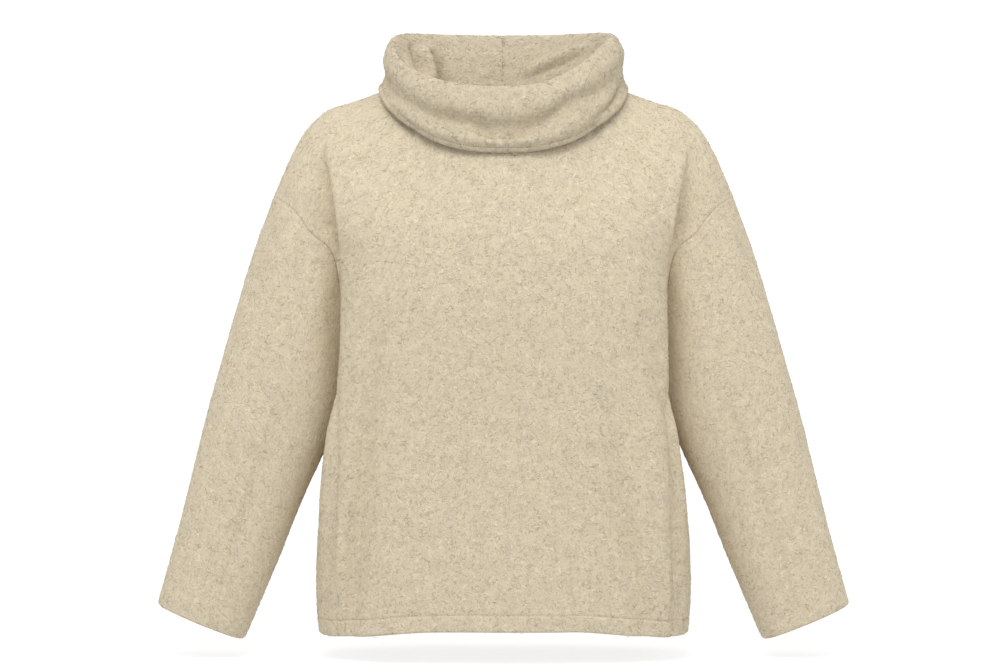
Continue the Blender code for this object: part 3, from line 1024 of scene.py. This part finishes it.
def fleckGroup():  # curled pale and dark fibres over clouds of two close tints
    group = bpy.data.node_groups.new("brushedFlecks", "ShaderNodeTree")
    group.interface.new_socket("Vector", in_out="INPUT", socket_type="NodeSocketVector")
    for name in ("Ground", "Pale", "Deep", "Warm", "Cool"):
        group.interface.new_socket(name, in_out="INPUT", socket_type="NodeSocketColor")
    group.interface.new_socket("Color", in_out="OUTPUT", socket_type="NodeSocketColor")
    group.interface.new_socket("Height", in_out="OUTPUT", socket_type="NodeSocketFloat")
    nodes, links = group.nodes, group.links
    given = nodes.new("NodeGroupInput")
    result = nodes.new("NodeGroupOutput")

    def noise(scale, detail, shift, distortion=0.0):
        place = nodes.new("ShaderNodeVectorMath")
        place.operation = "ADD"
        place.inputs[1].default_value = shift
        links.new(given.outputs["Vector"], place.inputs[0])
        node = nodes.new("ShaderNodeTexNoise")
        node.inputs["Scale"].default_value = scale
        node.inputs["Detail"].default_value = detail
        node.inputs["Distortion"].default_value = distortion
        links.new(place.outputs[0], node.inputs["Vector"])
        return node.outputs["Fac"]

    def maths(operation, first, second):
        node = nodes.new("ShaderNodeMath")
        node.operation = operation
        for socket, value in zip(node.inputs, (first, second)):
            if isinstance(value, float):
                socket.default_value = value
            else:
                links.new(value, socket)
        return node.outputs[0]

    def ramp(value, low, high, start=0.0, end=1.0):
        node = nodes.new("ShaderNodeMapRange")
        node.interpolation_type = "SMOOTHSTEP"
        node.inputs["From Min"].default_value = low
        node.inputs["From Max"].default_value = high
        node.inputs["To Min"].default_value = start
        node.inputs["To Max"].default_value = end
        links.new(value, node.inputs["Value"])
        return node.outputs["Result"]

    def blend(factor, first, second):
        node = nodes.new("ShaderNodeMix")
        node.data_type = "RGBA"
        links.new(factor, node.inputs["Factor"])
        links.new(first, node.inputs["A"])
        links.new(second, node.inputs["B"])
        return node.outputs["Result"]

    def curledLines(scale, shift, thin, broken):  # thin lines, broken into short lengths
        level = noise(scale, 1.0, shift, 1.2)
        away = maths("ABSOLUTE", maths("SUBTRACT", level, 0.5), 0.0)
        line = ramp(away, 0.0, thin, 1.0, 0.0)
        gapNoise = noise(scale * 1.2, 1.0, shift[::-1])
        return maths("MULTIPLY", line, ramp(gapNoise, broken, broken + look["brokenFade"]))

    patches = ramp(noise(look["patchScale"], 3.0, (2.0, 3.0, 8.0)), 0.36, 0.64)
    grain = noise(look["grainScale"], 2.0, (6.0, 1.0, 1.0))
    colour = blend(patches, given.outputs["Warm"], given.outputs["Cool"])
    cover = ramp(grain, 0.3, 0.7, 0.0, look["grainShare"])
    colour = blend(cover, colour, given.outputs["Ground"])
    height = maths("MULTIPLY", grain, look["grainHeight"])
    for scale, shift, thin, broken, share, raised, tint in curls.values():
        lines = curledLines(scale, shift, thin, broken)
        colour = blend(maths("MULTIPLY", lines, share), colour, given.outputs[tint])
        height = maths("ADD", height, maths("MULTIPLY", lines, raised))
    links.new(colour, result.inputs["Color"])
    links.new(height, result.inputs["Height"])
    return group


def clothMaterial(name, group, shade):
    material, nodes, links, shader = newMaterial(name, look["roughness"])
    shader.inputs["Specular IOR Level"].default_value = look["specular"]
    shader.inputs["Sheen Weight"].default_value = look["sheen"]
    shader.inputs["Sheen Roughness"].default_value = look["sheenRoughness"]
    shader.inputs["Sheen Tint"].default_value = (*look["pale"], 1)
    flecks = nodes.new("ShaderNodeGroup")
    flecks.node_tree = group
    for socket in ("Ground", "Pale", "Deep", "Warm", "Cool"):
        flecks.inputs[socket].default_value = shaded(socket.lower(), shade)
    way = nodes.new("ShaderNodeUVMap")
    way.uv_map = "clothWay"
    links.new(way.outputs["UV"], flecks.inputs["Vector"])
    links.new(flecks.outputs["Color"], shader.inputs["Base Color"])
    bump = nodes.new("ShaderNodeBump")
    bump.inputs["Strength"].default_value = look["bump"]
    bump.inputs["Distance"].default_value = look["bumpDepth"]
    links.new(flecks.outputs["Height"], bump.inputs["Height"])
    links.new(bump.outputs["Normal"], shader.inputs["Normal"])
    return material


print("colouring the cloth")
flecks = fleckGroup()
bodyLook = clothMaterial("brushed_oatmeal_cloth", flecks, look["shade"])
# the collar's material is a darker copy of the body's cloth: painted shade
collarPaintedShadeLook = clothMaterial("brushed_oatmeal_collar_painted_shade", flecks, look["collarPaintedShade"])
for name, piece in pieces.items():
    piece.data.materials.append(collarPaintedShadeLook if name == "collar" else bodyLook)
    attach(piece, "root")
    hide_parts(name)

# the stitch lines that hold the turned hem and the collar's turned edge
thread = {
    "pitch": 3.4,
    "length": 2.7,
    "width": 0.32,
    "height": 0.35,
    "colour": (0.52, 0.435, 0.295, 1),
    "roughness": 0.7,
    "hemRow": 11,  # the panels' row on the hem's stitch line
    "collarRow": -9,  # the same for the collar, counted from its free edge
}


def stitchLine(name, line, normals, closed):  # a row of short stitches, each a closed lozenge
    if closed:
        line = np.append(line, line[:1], axis=0)
        normals = np.append(normals, normals[:1], axis=0)
    way = lengthsAlong(line)
    places = np.arange(thread["pitch"], way[-1] - thread["pitch"], thread["pitch"])

    def along(values, at):
        return np.stack([np.interp(at, way, values[:, axis]) for axis in range(3)], axis=1)

    half = thread["length"] / 2
    start, end = along(line, places - half), along(line, places + half)
    middle = along(line, places)
    out = along(normals, places)
    out /= np.linalg.norm(out, axis=1)[:, None]
    aside = np.cross(end - start, out)
    aside /= np.linalg.norm(aside, axis=1)[:, None]
    aside *= thread["width"]
    out *= thread["height"]
    corners = [start, middle + aside, middle + out, middle - aside, middle - out, end]
    points = np.stack(corners, axis=1).reshape(-1, 3) * mm
    ring = [1, 2, 3, 4]
    faces = []
    for first, second in zip(ring, ring[1:] + ring[:1]):
        faces += [(0, second, first), (5, first, second)]
    every = np.arange(len(places))[:, None, None] * len(corners) + np.array(faces)
    return placed(name, meshOf(name, points, every.reshape(-1, 3)))


print("stitching the hems")
threadLook, _, _, shader = newMaterial("sewing_thread", thread["roughness"])
shader.inputs["Base Color"].default_value = thread["colour"]
stitched = {}
for name in ("front", "back"):
    sheet, rear, normals = surfaces[name]
    row = thread["hemRow"]
    stitched[name] = stitchLine("stitches_" + name, sheet[row], normals[row], False)
sheet, rear, normals = surfaces["collar"]
row = thread["collarRow"]
stitched["collar"] = stitchLine("stitches_collar", rear[row], -normals[row], True)
for line in stitched.values():
    line.data.materials.append(threadLook)

# the brushed nap: short curled fibres lying on the cloth's outer side
nap = {
    "fibres": {
        "front": 8500,
        "back": 5500,
        "sleeve_left": 3500,
        "sleeve_right": 3500,
        "collar": 4500,
    },
    "length": 7.0,
    "shortest": 0.6,
    "longest": 1.3,
    "rings": (0.33, 0.67),
    "radius": 0.24,
    "bend": 0.4,
    "sunk": 0.3,
    "lift": 0.2,
    "looseTip": 0.7,
    "looseShare": 0.1,
    "groundStop": 0.3,
    "roughness": 0.9,
    "seed": 7,
}


def napMesh(name, sheet, normals, closed, count):
    chance = np.random.default_rng(nap["seed"])
    if closed:
        sheet = np.append(sheet, sheet[:, :1], axis=1)
        normals = np.append(normals, normals[:, :1], axis=1)
    across, upward = sheet[:-1, 1:] - sheet[:-1, :-1], sheet[1:, :-1] - sheet[:-1, :-1]
    area = np.linalg.norm(np.cross(across, upward), axis=-1).reshape(-1)
    cell = chance.choice(area.size, count, p=area / area.sum())
    u, v = chance.random((2, count, 1))

    def inCell(grid):
        low = (1 - u) * grid[:-1, :-1].reshape(-1, 3)[cell] + u * grid[:-1, 1:].reshape(-1, 3)[cell]
        high = (1 - u) * grid[1:, :-1].reshape(-1, 3)[cell] + u * grid[1:, 1:].reshape(-1, 3)[cell]
        return (1 - v) * low + v * high

    def unit(vectors):
        return vectors / np.linalg.norm(vectors, axis=1)[:, None]

    centre, out = inCell(sheet), unit(inCell(normals))
    aside = unit(np.cross(out, upward.reshape(-1, 3)[cell]))
    turn = chance.uniform(0, 2 * math.pi, (count, 1))
    way = np.cos(turn) * np.cross(aside, out) + np.sin(turn) * aside
    side = np.cross(out, way)
    length = nap["length"] * chance.uniform(nap["shortest"], nap["longest"], (count, 1))
    bend = length * chance.uniform(-nap["bend"], nap["bend"], (count, 1))
    loose = nap["looseTip"] * (chance.random((count, 1)) < nap["looseShare"])
    sunk, lift = nap["sunk"], nap["lift"]

    def spine(t):
        arch = 4 * t * (1 - t)
        rise = (sunk + lift) * arch - sunk + loose * t * t
        return centre + way * length * (t - 0.5) + side * bend * arch + out * rise

    corners = [spine(0.0)]
    for t in nap["rings"]:
        for angle in np.radians([0, 120, 240]):
            spoke = math.cos(angle) * side + math.sin(angle) * out
            corners.append(spine(t) + spoke * nap["radius"])
    corners.append(spine(1.0))
    faces = []
    for first, second in ((1, 2), (2, 3), (3, 1)):
        faces += [(0, second, first), (7, first + 3, second + 3)]
        faces += [(first, second, second + 3), (first, second + 3, first + 3)]
    points = np.stack(corners, axis=1).reshape(-1, 3) * mm
    every = np.arange(count)[:, None, None] * len(corners) + np.array(faces)
    mesh = meshOf(name, points, every.reshape(-1, 3))
    shade = mesh.attributes.new("fibreShade", "FLOAT", "POINT")
    shades = np.repeat(chance.random(count), len(corners))
    shade.data.foreach_set("value", shades.astype(np.float32))
    return placed(name, mesh)


def napMaterial(name, shade):  # each fibre keeps one tint between the dusk and the pale
    material, nodes, links, shader = newMaterial(name, nap["roughness"])
    shader.inputs["Specular IOR Level"].default_value = look["specular"]
    tint = nodes.new("ShaderNodeAttribute")
    tint.attribute_name = "fibreShade"
    ramp = nodes.new("ShaderNodeValToRGB")
    for stop, key in ((0, "dusk"), (1, "pale")):
        ramp.color_ramp.elements[stop].color = shaded(key, shade)
    middle = ramp.color_ramp.elements.new(nap["groundStop"])
    middle.color = shaded("ground", shade)
    links.new(tint.outputs["Fac"], ramp.inputs["Fac"])
    links.new(ramp.outputs["Color"], shader.inputs["Base Color"])
    return material


print("brushing the nap")
bodyNap = napMaterial("brushed_nap", look["shade"])
# the collar's nap is darkened the same way: painted shade
collarPaintedShadeNap = napMaterial("brushed_collar_nap_painted_shade", look["collarPaintedShade"])
for name, piece in pieces.items():
    sheet, rear, normals = surfaces[name]
    count = nap["fibres"][name]
    if name == "collar":
        fibres = napMesh("nap_collar", rear, -normals, True, count)
    else:
        fibres = napMesh("nap_" + name, sheet, normals, name.startswith("sleeve"), count)
    fibres.data.materials.append(collarPaintedShadeNap if name == "collar" else bodyNap)
    sewn = [fibres, stitched[name]] if name in stitched else [fibres]
    for extra in sewn:
        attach(extra, "root")

# the studio: paper, light and camera
studio = {
    "floor": -0.640,
    "paperFront": -8.0,
    "cameraPlace": (0.0006, -3.2, -0.2738),
    "lens": 99.38,
    "world": 0.74,
    "paper": (0.30, 0.30, 0.30, 1),
    "paperGlow": 0.82,
    "paperBend": 2.0,
    "paperTop": 8.0,
    "halfWidth": 8.0,
}
lights = {
    "key": {"place": (-0.4, -2.2, 2.3), "aim": (0, 0, -0.25), "size": (2.2, 1.4), "power": 52},
    "fill": {"place": (1.9, -2.5, 0.7), "aim": (0, 0, -0.3), "size": (1.6, 1.6), "power": 8},
}


def makePaper():  # a sweep of pale paper, level under the piece and curved up behind it
    steps, halfWidth = 24, studio["halfWidth"]
    radius = turnAt = studio["paperBend"]
    profile = [(studio["paperFront"], 0.0), (turnAt, 0.0)]
    for step in range(1, steps + 1):
        turn = math.pi / 2 * step / steps
        profile.append((turnAt + radius * math.sin(turn), radius * (1 - math.cos(turn))))
    profile.append((turnAt + radius, studio["paperTop"]))
    points = []
    for y, z in profile:
        points += [(-halfWidth, y, studio["floor"] + z), (halfWidth, y, studio["floor"] + z)]
    faces = [(2 * row, 2 * row + 1, 2 * row + 3, 2 * row + 2) for row in range(len(profile) - 1)]
    paper = placed("studio_paper", meshOf("studio_paper", np.array(points), np.array(faces)))
    material, _, _, shader = newMaterial("pale_paper", 1.0)
    shader.inputs["Base Color"].default_value = studio["paper"]
    shader.inputs["Specular IOR Level"].default_value = 0.0
    shader.inputs["Emission Color"].default_value = (1, 1, 1, 1)
    shader.inputs["Emission Strength"].default_value = studio["paperGlow"]
    paper.data.materials.append(material)
    paper.visible_diffuse = False


def areaLight(name, place, aim, size, power):
    light = bpy.data.lights.new(name, "AREA")
    light.shape = "RECTANGLE"
    light.size, light.size_y = size
    light.energy = power
    item = bpy.data.objects.new(name, light)
    bpy.context.scene.collection.objects.link(item)
    item.location = place
    item.rotation_euler = (Vector(aim) - Vector(place)).to_track_quat("-Z", "Y").to_euler()


print("setting the studio")
makePaper()
for name, light in lights.items():
    areaLight(name, **light)
scene = bpy.context.scene
scene.world = scene.world or bpy.data.worlds.new("soft_room")
scene.world.use_nodes = True
background = scene.world.node_tree.nodes["Background"]
background.inputs["Color"].default_value = (1, 1, 1, 1)
background.inputs["Strength"].default_value = studio["world"]
camera = bpy.data.objects.new("camera", bpy.data.cameras.new("camera"))
camera.data.lens = studio["lens"]
camera.data.sensor_width = 36.0
camera.location = studio["cameraPlace"]
camera.rotation_euler = (math.radians(90), 0, 0)
scene.collection.objects.link(camera)
scene.camera = camera
scene.view_settings.view_transform = "Standard"
